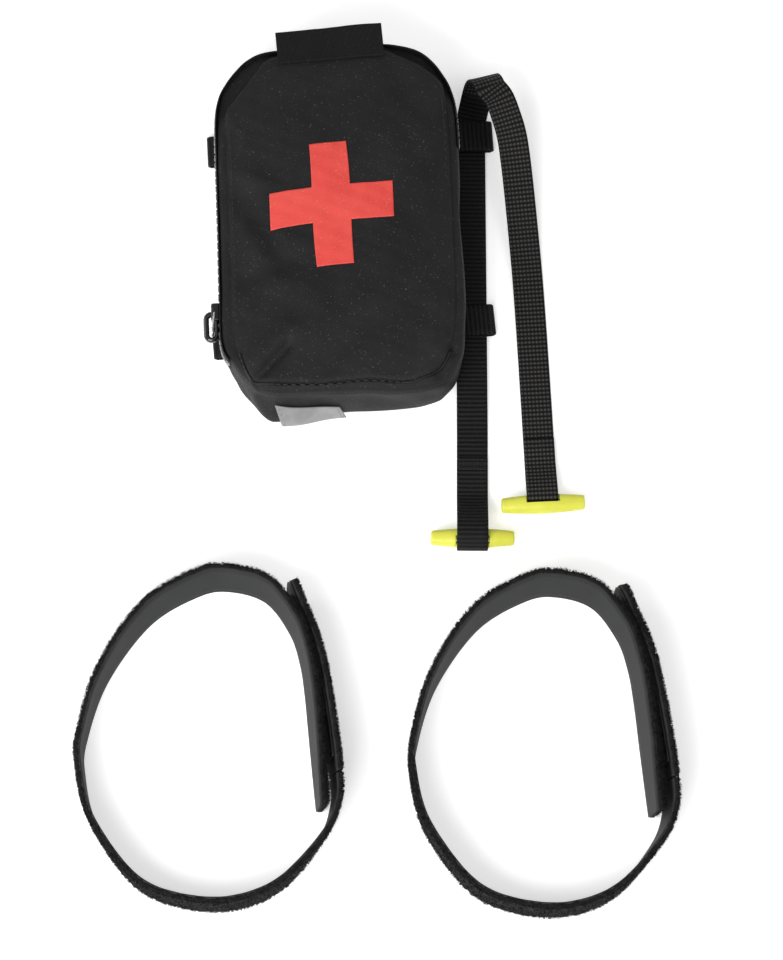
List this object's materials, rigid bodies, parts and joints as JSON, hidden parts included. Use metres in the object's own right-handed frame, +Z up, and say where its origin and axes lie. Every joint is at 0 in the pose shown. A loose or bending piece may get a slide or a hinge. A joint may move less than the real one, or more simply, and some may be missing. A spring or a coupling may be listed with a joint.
{
  "type": "first-aid pouch kit with toggle strap and hook-and-loop bands",
  "caption": "Black zipped first-aid pouch with a red cross, a webbing toggle strap through its side loops, and two hook-and-loop bands standing on edge in front of it.",
  "frame": {"origin": "middle of the laid-out kit's footprint, on the table", "axes": "+Z up from the table, +Y towards the pouch's label end, +X towards the strap's side"},
  "size_m": [0.2811, 0.4371, 0.0428],
  "materials": {
    "coated_nylon": "black coated woven nylon",
    "webbing": "black ribbed webbing",
    "zip": "black moulded coil",
    "slider": "black gloss",
    "wire": "bright wire",
    "grip": "black gloss",
    "reflective": "silver-grey reflective",
    "print": "matte red print",
    "toggle": "yellow-green, satin",
    "pile": "black loop pile on smooth tape",
    "hooks": "black hooks"
  },
  "bodies": {
    "pouch": {"back_panel": "coated_nylon", "back_gusset": "coated_nylon", "plain_gusset": "coated_nylon", "zip_tape_back": "coated_nylon", "zip_coil_back": "zip", "zip_stop_lower": "zip", "zip_stop_upper": "zip", "front_panel_fixed": "coated_nylon", "webbing_upper": "webbing", "webbing_lower": "webbing", "reflective_tab": "reflective"},
    "lid": {"front_panel": "coated_nylon", "front_gusset": "coated_nylon", "zip_tape_front": "coated_nylon", "zip_coil_front": "zip", "red_cross": "print", "label": "webbing"},
    "slider": {"zip_slider": "slider"},
    "puller": {"puller_link": "wire", "puller_grip": "grip"},
    "strap": {"strap_webbing": "webbing"},
    "toggle_left": {"toggle_left": "toggle"},
    "toggle_right": {"toggle_right": "toggle"},
    "band_1": {"band_1_strip": "pile"},
    "band_1_tab": {"band_1_tab": "pile", "band_1_hooks": "hooks"},
    "band_2": {"band_2_strip": "pile"},
    "band_2_tab": {"band_2_tab": "pile", "band_2_hooks": "hooks"}
  },
  "joints": [
    {"name": "lid_fold", "type": "hinge", "parent": "pouch", "child": "lid", "pos_m": [-0.06616, 0.03554, 0.0415], "axis": [0.7428, 0.6695, 0], "range_deg": [0, 110]},
    {"name": "slider_run", "type": "slide", "parent": "pouch", "child": "slider", "axis": [-0.0436, 0.999, 0], "range_m": [-0.013, 0.088]},
    {"name": "puller_swing", "type": "hinge", "parent": "slider", "child": "puller", "pos_m": [-0.07794, 0.07146, 0.029], "axis": [0, 0, -1], "range_deg": [0, 75]},
    {"name": "strap_pull", "type": "slide", "parent": "pouch", "child": "strap", "axis": [0, 1, 0], "range_m": [-0.004, 0.02]},
    {"name": "toggle_left_turn", "type": "hinge", "parent": "strap", "child": "toggle_left", "pos_m": [0.04568, -0.0392, 0.0048], "axis": [-1, 0.0071, 0], "range_deg": [0, 110]},
    {"name": "toggle_right_turn", "type": "hinge", "parent": "strap", "child": "toggle_right", "pos_m": [0.07955, -0.0157, 0.0048], "axis": [-0.9989, -0.046, 0], "range_deg": [0, 80]},
    {"name": "band_1_lift", "type": "slide", "parent": "pouch", "child": "band_1", "axis": [0, 0, 1], "range_m": [0, 0.06]},
    {"name": "band_1_peel", "type": "hinge", "parent": "band_1", "child": "band_1_tab", "pos_m": [-0.01523, -0.15702, 0], "axis": [0, 0, -1], "range_deg": [0, 45]},
    {"name": "band_2_lift", "type": "slide", "parent": "pouch", "child": "band_2", "axis": [0, 0, 1], "range_m": [0, 0.06]},
    {"name": "band_2_peel", "type": "hinge", "parent": "band_2", "child": "band_2_tab", "pos_m": [0.14017, -0.15962, 0], "axis": [0, 0, -1], "range_deg": [0, 45]}
  ]
}
